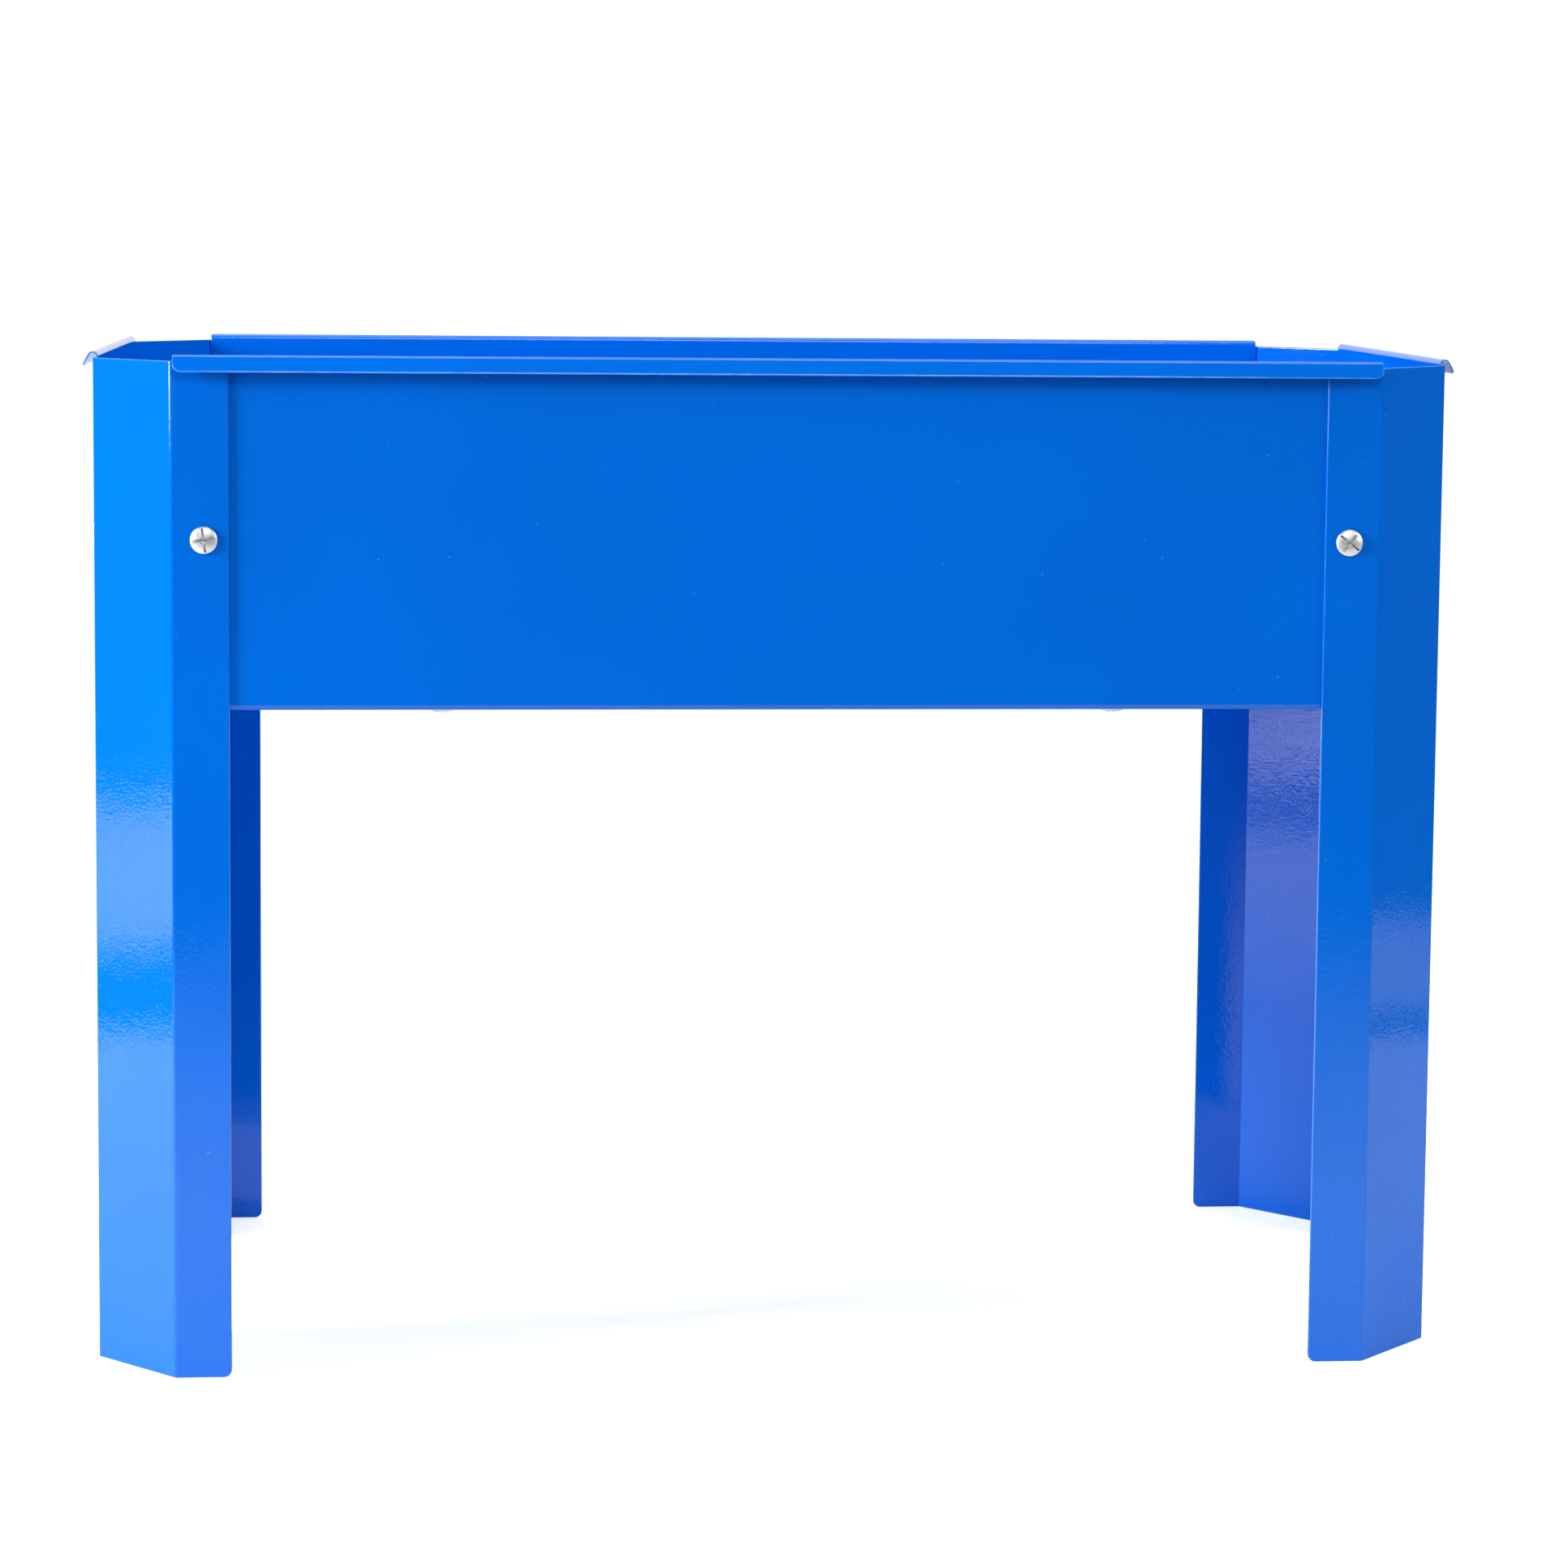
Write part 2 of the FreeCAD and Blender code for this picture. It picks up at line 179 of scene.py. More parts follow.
def blank_columns(line, width, corner, inset):
    """For each column of vertices: its distance along the blank and how far its ends stand in."""
    radius = corner - inset
    rising = [math.pi / 2 * i / CORNER_STEPS for i in range(CORNER_STEPS + 1)]
    ends = [(inset + radius * (1 - math.cos(a)), inset + radius * (1 - math.sin(a))) for a in rising]
    middle = [d for d in line.columns() if corner + SUPPORT < d < line.length - corner - SUPPORT]
    return ends + [(d, inset) for d in middle] + [(line.length - d, side) for d, side in reversed(ends)]


def folded_sheet(name, line, width, corner, sheet, edge_radius, fading, lay):
    """A closed mesh of a folded sheet.  lay() turns a point of the end-on drawing and a way across to XYZ."""
    bm = bmesh.new()
    edge_layer = bm.verts.layers.float.new("coat_edge")
    half = edge_radius * (1 - math.sqrt(0.5))
    loops = [
        (edge_radius + SUPPORT, 0, 0), (edge_radius, 0, 0.3), (half, half, 1), (0, edge_radius, 1),
        (0, sheet - edge_radius, 1), (half, sheet - half, 1), (edge_radius, sheet, 0.3),
        (edge_radius + SUPPORT, sheet, 0),
    ]

    def vertex(distance, across, depth, on_edge):
        point, inward = line.at(distance)
        made = bm.verts.new(lay(point + inward * depth, across))
        # The edge mark lets the coat paint the cut edge paler: partly thinner paint, partly painted
        # highlight.
        made[edge_layer] = on_edge * fading
        return made

    rings = []
    for index, (inset, depth, on_edge) in enumerate(loops):
        columns = blank_columns(line, width, corner, inset)
        is_face = index in (0, len(loops) - 1)
        last = len(columns) - 1
        grid = {}
        for i, (distance, side) in enumerate(columns):
            for j in range(ROWS + 1):
                if is_face or i in (0, last) or j in (0, ROWS):
                    across = side + (width - 2 * side) * j / ROWS
                    grid[i, j] = vertex(distance, across, depth, on_edge)
        if is_face:
            for i in range(last):
                for j in range(ROWS):
                    bm.faces.new((grid[i, j], grid[i + 1, j], grid[i + 1, j + 1], grid[i, j + 1]))
        around = [(i, 0) for i in range(last)] + [(last, j) for j in range(ROWS)]
        around += [(i, ROWS) for i in range(last, 0, -1)] + [(0, j) for j in range(ROWS, 0, -1)]
        rings.append([grid[key] for key in around])
    for one, two in zip(rings, rings[1:]):
        for a, b, c, d in zip(one, one[1:] + one[:1], two[1:] + two[:1], two):
            bm.faces.new((a, b, c, d))
    bmesh.ops.recalc_face_normals(bm, faces=bm.faces)
    for face in bm.faces:
        face.smooth = True
    return mesh_object(name, bm)


# %% [markdown]
# ## The legs
# A leg is a strip folded twice by 45 degrees, so that it wraps a cut-off corner with one flange on each side.
# All four legs are the same part turned by quarter turns.  Its line starts at the edge of one flange, in a
# drawing where the cut-off corner is the zero point.

# %% Fold the legs
COAT_EDGE_LEG = 0.3 * MM
# How much paler the legs' cut edges are painted: partly thinner paint, partly painted highlight.
EDGE_PALING_LEG = 0.4
TURNS = {"front_left": 0, "front_right": 90, "rear_right": 180, "rear_left": 270}

set_back = LEG_BEND_OUTSIDE * math.tan(math.radians(22.5))
flange_flat = leg_reach - corner_cut - set_back
cut_flat = corner_cut * math.sqrt(2) - 2 * set_back
leg_line = FoldedLine((leg_reach, 0), 180, [
    (flange_flat,), (-45, LEG_BEND_OUTSIDE), (cut_flat,), (-45, LEG_BEND_OUTSIDE), (flange_flat,),
])

sheet_metal = []
for corner_name, turn in TURNS.items():
    node = f"{corner_name}_leg"
    low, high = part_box(node)
    side_x = low.x if "left" in corner_name else high.x
    side_y = low.y if "front" in corner_name else high.y
    stand = Matrix.Translation((side_x, side_y, low.z)) @ Matrix.Rotation(math.radians(turn), 4, "Z")
    leg = folded_sheet(f"{corner_name}_leg_folded", leg_line, leg_height, LEG_CORNER, LEG_SHEET,
                       COAT_EDGE_LEG, EDGE_PALING_LEG,
                       lambda p, z, stand=stand: stand @ Vector((p.x, p.y, z)))
    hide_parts(node)
    sheet_metal.append(leg)
print(f"{len(sheet_metal)} legs, strip {leg_line.length / MM:.1f} mm wide before folding")

# %% [markdown]
# ## The trough's sides
# Each side has an inward ledge at its foot that carries the floor, and a rim at the top that rolls outward
# over the legs and ends in a short straight lip.  The rolled rim hides the raw edge and stiffens the sheet.
# The drawing's first number is the way inward from the leg's outer face, the second the height.

# %% Fold the sides
COAT_EDGE_PANEL = 0.25 * MM
# How much paler the panels' cut edges are painted: partly thinner paint, partly painted highlight.
EDGE_PALING_PANEL = 1.0
SIDES = {"front": 0, "right_end": 90, "rear": 180, "left_end": 270}

for side_name, turn in SIDES.items():
    node = f"{side_name}_panel"
    low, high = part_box(node)
    wide = max(high.x - low.x, high.y - low.y)
    rim_centre = high.z - (RIM_BEND_INSIDE + PANEL_SHEET)
    wall = rim_centre - low.z - LEDGE_BEND_OUTSIDE
    side_line = FoldedLine((LEG_SHEET + LEDGE_DEPTH, low.z), 180, [
        (LEDGE_DEPTH - LEDGE_BEND_OUTSIDE,), (-90, LEDGE_BEND_OUTSIDE), (wall,),
        (RIM_TURN, RIM_BEND_INSIDE), (LIP[side_name],),
    ])
    from_middle = -leg_low.x if "end" in side_name else -leg_low.y
    stand = Matrix.Rotation(math.radians(turn), 4, "Z") @ Matrix.Translation((-wide / 2, -from_middle, 0))
    side = folded_sheet(f"{side_name}_panel_folded", side_line, wide, PANEL_CORNER, PANEL_SHEET,
                        COAT_EDGE_PANEL, EDGE_PALING_PANEL,
                        lambda p, x, stand=stand: stand @ Vector((x, p.x, p.y)))
    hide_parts(node)
    sheet_metal.append(side)
    print(f"{side_name}: {wide / MM:.1f} mm wide, blank {side_line.length / MM:.1f} mm deep")

# %% [markdown]
# ## One helper for node trees
# Materials and Geometry Nodes are both trees of nodes.  This function adds a node, sets its properties, and
# fills each of its inputs with a value or with a link from another node's output.

# %% Add a node
def add(tree, kind, inputs=None, **properties):
    node = tree.nodes.new(kind)
    for name, value in properties.items():
        setattr(node, name, value)
    for name, value in (inputs or {}).items():
        if isinstance(value, bpy.types.NodeSocket):
            tree.links.new(value, node.inputs[name])
        else:
            node.inputs[name].default_value = value
    return node


def calc(tree, kind, operation, *values):
    """A Math node, in a material or in Geometry Nodes: the output of an operation on the values."""
    return add(tree, kind, dict(enumerate(values)), operation=operation).outputs[0]


# %% [markdown]
# ## Colours
# Paint makers and screens describe colours in sRGB, but light adds up in linear numbers, so every colour
# passes through this function once.

# %% Colour from a hex code
def linear(code):
    def channel(text):
        value = int(text, 16) / 255
        return value / 12.92 if value <= 0.04045 else ((value + 0.055) / 1.055) ** 2.4

    return (*(channel(code[i:i + 2]) for i in (0, 2, 4)), 1)


# %% [markdown]
# ## Blue powder coat
# Dry paint powder is sprayed on charged steel and melted in an oven.  It flows out glossy but never quite
# level: it sets with an orange peel of shallow bumps about a millimetre across.  That texture breaks a
# reflection's edge into mottled patches.  It is drawn a little coarser, 1.4 mm, so that it shows from two
# metres.  Thin sheet is also never quite flat, so two longer waves go under it.  All three are noise in real
# millimetres.  Their heights are chosen by how much they disturb a reflection.
#
# The colour is nearly even.  It pales on the cut edges, partly where the paint pulls back and partly as a
# painted highlight of the light lines along them.  A few specks of dust are baked in, and short nicks come
# from packing.  Roughness wanders slightly where the gloss has been rubbed.

# %% Make the powder coat
PEEL_WAVE = 1.4 * MM
PEEL_HEIGHT = 0.035 * MM
BLOTCH_WAVE = 9 * MM
BLOTCH_HEIGHT = 0.04 * MM
SHEET_WAVE = 95 * MM
SHEET_HEIGHT = 0.3 * MM
SPECK_SPACING = 13 * MM
SPECK_SIZE = 0.36 * MM
NICK_SPACING = 48 * MM
NICK_LENGTH = 0.8 * MM
NICK_WIDTH = 0.14 * MM


def noise(tree, place, wave, detail=2.0, roughness=0.5):
    """Noise whose bumps are about one wave apart; place is in metres."""
    inputs = {"Vector": place, "Scale": 1 / wave, "Detail": detail, "Roughness": roughness}
    return add(tree, "ShaderNodeTexNoise", inputs).outputs["Fac"]


def ramp(tree, value, low, high, to_low=0.0, to_high=1.0):
    """The value's range from low to high stretched to a new range, and held there."""
    inputs = {"Value": value, "From Min": low, "From Max": high, "To Min": to_low, "To Max": to_high}
    return add(tree, "ShaderNodeMapRange", inputs).outputs["Result"]


def mix(tree, share, one, two):
    node = add(tree, "ShaderNodeMix", data_type="RGBA")
    for socket, value in ((node.inputs[0], share), (node.inputs[6], one), (node.inputs[7], two)):
        if isinstance(value, bpy.types.NodeSocket):
            tree.links.new(value, socket)
        else:
            socket.default_value = value
    return node.outputs[2]


def bump(tree, height, metres, normal=None):
    inputs = {"Height": height, "Distance": metres, "Strength": 1.0}
    if normal is not None:
        inputs["Normal"] = normal
    return add(tree, "ShaderNodeBump", inputs).outputs["Normal"]


def powder_coat():
    material = bpy.data.materials.new("powder_coat_blue")
    material.use_nodes = True
    tree = material.node_tree
    tree.nodes.clear()
    place = add(tree, "ShaderNodeTexCoord").outputs["Object"]

    # Colour: one saturated blue, a shade lighter on the cut edges, partly for thinner paint and partly as a
    # painted highlight.
    drift = ramp(tree, noise(tree, place, 120 * MM), 0.35, 0.65)
    blue = mix(tree, drift, linear("006ADB"), linear("006DE1"))
    edge = add(tree, "ShaderNodeAttribute", attribute_name="coat_edge").outputs["Fac"]
    paling_amount = ramp(tree, noise(tree, place, 9 * MM, 4), 0.35, 0.65, 0.3, 0.75)
    thin_paint_and_painted_highlight = calc(tree, "ShaderNodeMath", "MULTIPLY", edge, paling_amount)
    blue = mix(tree, thin_paint_and_painted_highlight, blue, linear("5CB2F6"))

    # Specks: a tiny dot near the middle of some of the cells of a Voronoi pattern.
    cells = add(tree, "ShaderNodeTexVoronoi", {"Vector": place, "Scale": 1 / SPECK_SPACING})
    small = SPECK_SIZE / SPECK_SPACING
    dot = ramp(tree, cells.outputs["Distance"], small * 0.7, small, 1, 0)
    chance = ramp(tree, cells.outputs["Color"], 0.52, 0.53)
    speck = calc(tree, "ShaderNodeMath", "MULTIPLY", dot, chance)

    # Nicks: short pale strokes.  Each cell turns its own stroke a different way by its random colour.
    nick_cells = add(tree, "ShaderNodeTexVoronoi", {"Vector": place, "Scale": 1 / NICK_SPACING})
    scattered = nick_cells.outputs["Color"]
    from_middle = add(tree, "ShaderNodeVectorMath", {0: place, 1: nick_cells.outputs["Position"]},
                      operation="SUBTRACT").outputs[0]
    angles = add(tree, "ShaderNodeVectorMath", {0: scattered, "Scale": 2 * math.pi},
                 operation="SCALE").outputs[0]
    own_way = add(tree, "ShaderNodeVectorRotate", {"Vector": from_middle, "Rotation": angles},
                  rotation_type="EULER_XYZ").outputs[0]
    along, across, _ = add(tree, "ShaderNodeSeparateXYZ", {0: own_way}).outputs
    within = calc(tree, "ShaderNodeMath", "LESS_THAN",
                  calc(tree, "ShaderNodeMath", "ABSOLUTE", along), NICK_LENGTH)
    fine = ramp(tree, calc(tree, "ShaderNodeMath", "ABSOLUTE", across), 0, NICK_WIDTH, 1, 0)
    kept = ramp(tree, scattered, 0.5, 0.51)
    stroke = calc(tree, "ShaderNodeMath", "MULTIPLY", within, fine)
    nick = calc(tree, "ShaderNodeMath", "MULTIPLY", kept, stroke)
    faint_nick = calc(tree, "ShaderNodeMath", "MULTIPLY", nick, 0.5)
    marks = calc(tree, "ShaderNodeMath", "MAXIMUM", speck, faint_nick)
    blue = mix(tree, calc(tree, "ShaderNodeMath", "MULTIPLY", marks, 0.4), blue, linear("8FC2F5"))

    # Gloss: fairly even, duller in smudges and on specks.
    smudge = ramp(tree, noise(tree, place, 45 * MM, 3), 0.42, 0.72, 0.045, 0.075)
    dull_marks = calc(tree, "ShaderNodeMath", "MULTIPLY", marks, 0.5)
    rough = calc(tree, "ShaderNodeMath", "MAXIMUM", smudge, dull_marks)

    # Relief, from the longest wave to the finest.
    relief = bump(tree, noise(tree, place, SHEET_WAVE, 1), SHEET_HEIGHT)
    relief = bump(tree, noise(tree, place, BLOTCH_WAVE, 1), BLOTCH_HEIGHT, relief)
    relief = bump(tree, noise(tree, place, PEEL_WAVE, 1), PEEL_HEIGHT, relief)

    shader = add(tree, "ShaderNodeBsdfPrincipled", {
        "Base Color": blue, "Roughness": rough, "Normal": relief, "IOR": 1.5,
    })
    add(tree, "ShaderNodeOutputMaterial", {"Surface": shader.outputs[0]})
    return material


coat = powder_coat()
for piece in sheet_metal:
    piece.data.materials.append(coat)
print(f"orange peel: bumps {PEEL_WAVE / MM:.1f} mm apart")

# %% [markdown]
# ## Bright zinc plate
# Cheap screws and nuts are zinc plated: a thin bright layer, a little milky, with a faint warm or bluish tint
# from the passivating bath.  The blanks are upset and rolled, not polished, so the layer follows tiny dents.
# A metal's colour is its reflection, so the base colour is light and roughness does most of the work.  An
# attribute of the mesh darkens the zinc in the punched recess, a painted shade that is darkest in the arms.

# %% Make the zinc
def zinc_plate():
    material = bpy.data.materials.new("zinc_plate_bright")
    material.use_nodes = True
    tree = material.node_tree
    tree.nodes.clear()
    place = add(tree, "ShaderNodeTexCoord").outputs["Object"]
    tint = ramp(tree, noise(tree, place, 5 * MM, 2), 0.35, 0.65)
    colour = mix(tree, tint, linear("F4F3EF"), linear("ECF0F5"))
    # Painted shade: the recess attribute darkens the zinc in the punched slot, arms and pit.
    painted_recess_shade = add(tree, "ShaderNodeAttribute", attribute_name="painted_recess_shade").outputs["Fac"]
    colour = mix(tree, painted_recess_shade, colour, linear("6A6D72"))
    dull = ramp(tree, noise(tree, place, 1.6 * MM, 3), 0.35, 0.7, 0.4, 0.55)
    relief = bump(tree, noise(tree, place, 0.9 * MM, 3), 0.02 * MM)
    shader = add(tree, "ShaderNodeBsdfPrincipled", {
        "Base Color": colour, "Metallic": 1.0, "Roughness": dull, "Normal": relief,
    })
    add(tree, "ShaderNodeOutputMaterial", {"Surface": shader.outputs[0]})
    return material


zinc = zinc_plate()
print("finishes:", coat.name, "and", zinc.name)

# %% [markdown]
# ## Parts of a screw
# The screws are M6 pan heads, upset from wire: a low dome with a softened rim.  Three tools have marked the
# head: a slot right across it, two narrow arms at right angles to the slot, and a round pit in the middle.
# The dome is turned from a profile.  Boolean modifiers then cut the recess, as the punch did, and a small
# bevel takes the sharpness off every edge, as plating and handling do.
#
# The head is drawn with its underside at zero height, pointing up.  It is a plain mesh that a tree of
# Geometry Nodes will set down twelve times.

# %% Turn a profile
ROUND_STEPS = 48


def turned(name, profile, steps=ROUND_STEPS):
    """A closed body turned about Z.  The profile runs from pole to pole as (radius, height)."""
    bm = bmesh.new()
    rings = []
    for radius, height in profile:
        if radius < 1e-9:
            rings.append([bm.verts.new((0, 0, height))])
            continue
        angles = (2 * math.pi * i / steps for i in range(steps))
        rings.append([bm.verts.new((radius * math.cos(a), radius * math.sin(a), height)) for a in angles])
    for one, two in zip(rings, rings[1:]):
        for i in range(steps):
            corners = [ring[j % len(ring)] for ring, j in ((one, i), (one, i + 1), (two, i + 1), (two, i))]
            bm.faces.new(list(dict.fromkeys(corners)))
    bmesh.ops.recalc_face_normals(bm, faces=bm.faces)
    return mesh_object(name, bm)


def block(name, size_x, size_y, low, high):
    """A cutter: a block about the Z axis."""
    bm = bmesh.new()
    bmesh.ops.create_cube(bm, size=1)
    for vert in bm.verts:
        vert.co = Vector((vert.co.x * size_x, vert.co.y * size_y, low if vert.co.z < 0 else high))
    return mesh_object(name, bm)


def plain_mesh(made, name):
    """The object's mesh with its modifiers worked into it, and its own object removed."""
    evaluated = made.evaluated_get(bpy.context.evaluated_depsgraph_get())
    mesh = bpy.data.meshes.new_from_object(evaluated)
    mesh.name = name
    bpy.data.objects.remove(made)
    return mesh


# %% Shape the pan head
screw_low, screw_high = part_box("front_left_face_screw")
head_width = screw_high.x - screw_low.x
head_height = leg_low.y - screw_low.y
screw_length = screw_high.y - leg_low.y
HEAD_EDGE = 0.9 * MM
HEAD_ROUND = 0.25 * MM
SLOT_WIDTH, SLOT_DEPTH = 1.6 * MM, 1.0 * MM
ARM_WIDTH, ARM_SPAN, ARM_DEPTH = 0.9 * MM, 10.6 * MM, 1.6 * MM
PIT_WIDTH, PIT_DEPTH = 3.4 * MM, 2.0 * MM
HEAD_SOFTENING = 0.09 * MM

radius = head_width / 2
rise = head_height - HEAD_EDGE
dome_radius = (radius ** 2 + rise ** 2) / (2 * rise)
dome = []
for i in range(11):
    out = radius * (1 - i / 11) ** 0.8
    if out < radius - HEAD_ROUND:
        dome.append((out, head_height - dome_radius + math.sqrt(dome_radius ** 2 - out ** 2)))
rim = [(radius - 0.3 * MM, 0), (radius, HEAD_ROUND), (radius, HEAD_EDGE - HEAD_ROUND)]
profile = [(0, 0), *rim, (radius - 0.12 * MM, HEAD_EDGE - 0.02 * MM), *dome, (0, head_height)]
head = turned("pan_head", profile)

TOP = head_height + MM
pit_floor = head_height - PIT_DEPTH
pit_profile = [(0, pit_floor), (PIT_WIDTH * 0.36, pit_floor + 0.25 * MM), (PIT_WIDTH / 2, TOP), (0, TOP)]
cutters = [
    block("slot_cutter", 2 * head_width, SLOT_WIDTH, head_height - SLOT_DEPTH, TOP),
    block("arm_cutter", ARM_WIDTH, ARM_SPAN, head_height - ARM_DEPTH, TOP),
    turned("pit_cutter", pit_profile, 24),
]
for cutter in cutters:
    boolean = head.modifiers.new(cutter.name, "BOOLEAN")
    boolean.object = cutter
    boolean.solver = "EXACT"
softening = head.modifiers.new("softening", "BEVEL")
softening.width = HEAD_SOFTENING
softening.segments = 2
softening.angle_limit = math.radians(38)
head_mesh = plain_mesh(head, "pan_head")
for cutter in cutters:
    bpy.data.objects.remove(cutter)

# %% Mark the recess for painted shade: darkest in the narrow arms, lighter in the slot and the pit
ARM_SHADE, SLOT_SHADE = 1, 0.22
FADE_DEPTH = 0.3 * MM
RIM_KEPT_CLEAR = 0.4 * MM

painted_recess_shade = head_mesh.attributes.new("painted_recess_shade", "FLOAT", "POINT")
for vert in head_mesh.vertices:
    out = math.hypot(vert.co.x, vert.co.y)
    surface = head_height - dome_radius + math.sqrt(max(0, dome_radius ** 2 - out ** 2))
    in_recess = out < radius - RIM_KEPT_CLEAR and vert.co.z > RIM_KEPT_CLEAR
    in_arm = abs(vert.co.x) < ARM_WIDTH / 2 + 0.02 * MM and abs(vert.co.y) > PIT_WIDTH / 2 - 0.3 * MM
    shade_share = ARM_SHADE if in_arm else SLOT_SHADE
    depth = max(0, (surface - vert.co.z) / FADE_DEPTH)
    painted_recess_shade.data[vert.index].value = min(shade_share, depth) if in_recess else 0
print(f"head {head_width / MM:.1f} mm wide, {head_height / MM:.1f} mm high, {len(head_mesh.polygons)} faces")

# %% [markdown]
# ## Shape of a nut
# A hexagon nut is a hexagon that a cone has trimmed: its six corners are cut back by 30 degrees on both
# faces, and that is what draws the curved line across each flat.  The mesh has a ring of vertices for each
# step from the bore outward.  Each vertex on the hexagon's outline works out how much the cone takes off.
# The nut hangs below zero height, so that zero is the face it is clamped by.

# %% Shape the hexagon nut
nut_low, nut_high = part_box("front_left_face_nut")
nut_height = nut_high.y - nut_low.y
NUT_FLATS = 10 * MM
BORE = 6.1 * MM
NUT_FACE = NUT_FLATS * 0.475
BORE_FLARE, BORE_FLARE_DEPTH = 0.45 * MM, 0.5 * MM
NUT_STEPS = 48
CONE = math.tan(math.radians(30))


def nut_ring(bm, kind, height, facing):
    """A ring of vertices; kind is a radius, or "hexagon" for the trimmed outline."""
    made = []
    for i in range(NUT_STEPS):
        angle = 2 * math.pi * i / NUT_STEPS
        out = kind
        z = height
        if kind == "hexagon":
            out = NUT_FLATS / 2 / math.cos(angle % (math.pi / 3) - math.pi / 6)
            z = height - facing * CONE * max(0.06 * MM, out - NUT_FACE)
        made.append(bm.verts.new((out * math.cos(angle), out * math.sin(angle), z)))
    return made


bm = bmesh.new()
rings = [
    nut_ring(bm, BORE / 2, -nut_height + BORE_FLARE_DEPTH, 0),
    nut_ring(bm, BORE / 2 + BORE_FLARE, -nut_height, 0),
    nut_ring(bm, NUT_FACE, -nut_height, 0),
    nut_ring(bm, "hexagon", -nut_height, -1),
    nut_ring(bm, "hexagon", 0, 1),
    nut_ring(bm, NUT_FACE, 0, 0),
    nut_ring(bm, BORE / 2 + BORE_FLARE, 0, 0),
    nut_ring(bm, BORE / 2, -BORE_FLARE_DEPTH, 0),
]
for one, two in zip(rings, rings[1:] + rings[:1]):
    for a, b, c, d in zip(one, one[1:] + one[:1], two[1:] + two[:1], two):
        bm.faces.new((a, b, c, d))
bmesh.ops.recalc_face_normals(bm, faces=bm.faces)
nut_mesh = bpy.data.meshes.new("hexagon_nut")
bm.to_mesh(nut_mesh)
bm.free()
print(f"nut {NUT_FLATS / MM:.0f} mm across flats, {nut_height / MM:.1f} mm high")

# %% [markdown]
# ## Where the fasteners sit
# Every screw and nut of the CAD model has a box.  The head's underside, the middle of the box and the way it
# points are all in there, so the spots need no numbers of their own.  How far each screw happens to be turned
# when it is tight does need one: no two end up alike.
#
# A spot is one loose vertex that carries two attributes, the direction outward and the turn.

# %% Read the spots off the CAD boxes
CORNERS = ("front_left", "front_right", "rear_right", "rear_left")
OUTWARD = {
    "face": [(0, -1, 0), (0, -1, 0), (0, 1, 0), (0, 1, 0)],
    "end": [(-1, 0, 0), (1, 0, 0), (1, 0, 0), (-1, 0, 0)],
    "floor": [(0, 0, -1)] * 4,
}
TIGHT_AT = {"face": (8, 52, 20, 75), "end": (35, 100, 64, 12), "floor": (40, 15, 80, 58)}


def fastener_spots(kind):
    """(node, point on the clamped face, outward direction, turn) for every screw or every nut."""
    found = []
    for place_name, directions in OUTWARD.items():
        for corner_name, outward, turn in zip(CORNERS, directions, TIGHT_AT[place_name]):
            node = f"{corner_name}_{place_name}_{kind}"
            low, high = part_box(node)
            middle, out = (low + high) / 2, Vector(outward)
            reach = abs((high - low).dot(out)) / 2
            face = reach - head_height if kind == "screw" else reach
            found.append((node, middle + out * face, out, math.radians(turn)))
    return found


def spots_object(name, spots):
    mesh = bpy.data.meshes.new(name)
    mesh.from_pydata([point for _, point, _, _ in spots], [], [])
    mesh.attributes.new("outward", "FLOAT_VECTOR", "POINT")
    mesh.attributes.new("turn", "FLOAT", "POINT")
    for i, (_, _, direction, angle) in enumerate(spots):
        mesh.attributes["outward"].data[i].vector = direction
        mesh.attributes["turn"].data[i].value = angle
    return in_scene(name, mesh)


screw_spots, nut_spots = fastener_spots("screw"), fastener_spots("nut")
print(len(screw_spots), "screws and", len(nut_spots), "nuts")

# %% [markdown]
# ## A tree that sets fasteners down
# Geometry Nodes is the natural tool for anything that repeats.  This tree takes the spots as its input,
# stands a shape on each, and turns it first to face outward and then about its own axis.  The same tree
# serves the screws and the nuts.  For a screw it also rolls the thread: it bends a flat grid into a tube
# whose radius rises and falls with a zigzag that climbs one pitch per turn.
#
# Sizes are named inputs of the tree, so another screw needs other numbers and not another tree.

# %% Helpers for a Geometry Nodes tree
SOCKETS = {
    "length": "NodeSocketFloat", "count": "NodeSocketInt", "object": "NodeSocketObject",
    "material": "NodeSocketMaterial", "geometry": "NodeSocketGeometry",
}


def new_tree(name, **inputs):
    """A tree with a geometry input and output and one more named input for each kind given."""
    tree = bpy.data.node_groups.new(name, "GeometryNodeTree")
    tree.interface.new_socket("Geometry", in_out="INPUT", socket_type=SOCKETS["geometry"])
    for socket_name, kind in inputs.items():
        title = socket_name.replace("_", " ").title()
        tree.interface.new_socket(title, in_out="INPUT", socket_type=SOCKETS[kind])
    tree.interface.new_socket("Geometry", in_out="OUTPUT", socket_type=SOCKETS["geometry"])
    return tree, tree.nodes.new("NodeGroupInput").outputs


def grown(made, tree, name, **values):
    """Run the tree on an object with these input values and return the result as a plain object."""
    modifier = made.modifiers.new(tree.name, "NODES")
    modifier.node_group = tree
    for socket_name, value in values.items():
        title = socket_name.replace("_", " ").title()
        item = next(i for i in tree.interface.items_tree if i.name == title and i.in_out == "INPUT")
        modifier[item.identifier] = value
    made.update_tag()
    bpy.context.view_layer.update()
    return in_scene(name, plain_mesh(made, name))


# %% Build the fastener tree
ROWS_PER_PITCH = 8
THREAD_ROUND = 24
END_ROW = 0.01 * MM
THREAD_MERGE = 0.002 * MM


